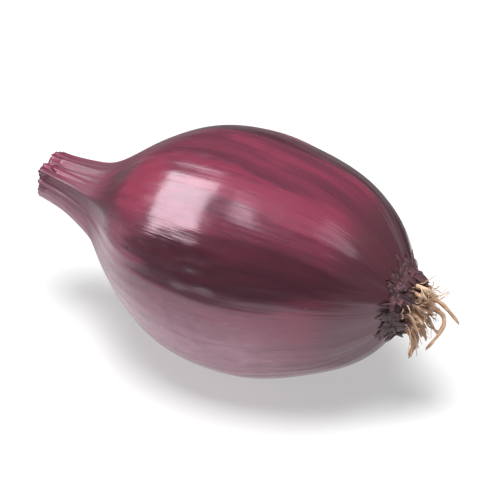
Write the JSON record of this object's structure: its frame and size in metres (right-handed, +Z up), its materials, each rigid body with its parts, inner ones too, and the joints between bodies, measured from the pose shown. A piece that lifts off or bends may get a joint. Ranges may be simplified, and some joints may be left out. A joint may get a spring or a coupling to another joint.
{
  "type": "onion set",
  "caption": "Small dry red onion bulb for planting, lying on its side: egg-shaped body, pleated dried neck, ragged outer skin and a short tuft of dried roots.",
  "frame": {"origin": "middle of the small flat spot that the bulb rests on", "axes": "+X along the bulb from the neck to the root end, +Z up, away from the surface that it lies on"},
  "size_m": [0.0394, 0.0215, 0.0208],
  "materials": {
    "red_onion_skin": "glossy papery skin, crimson purple with fine veins",
    "torn_dry_skin": "dry ragged skin, dark purple brown with pale edges",
    "dry_roots": "dry corky plate and fibrous roots, tan"
  },
  "bodies": {
    "root": {"bulb": "red_onion_skin", "torn_skin": "torn_dry_skin", "root_tuft": "dry_roots"}
  },
  "joints": []
}
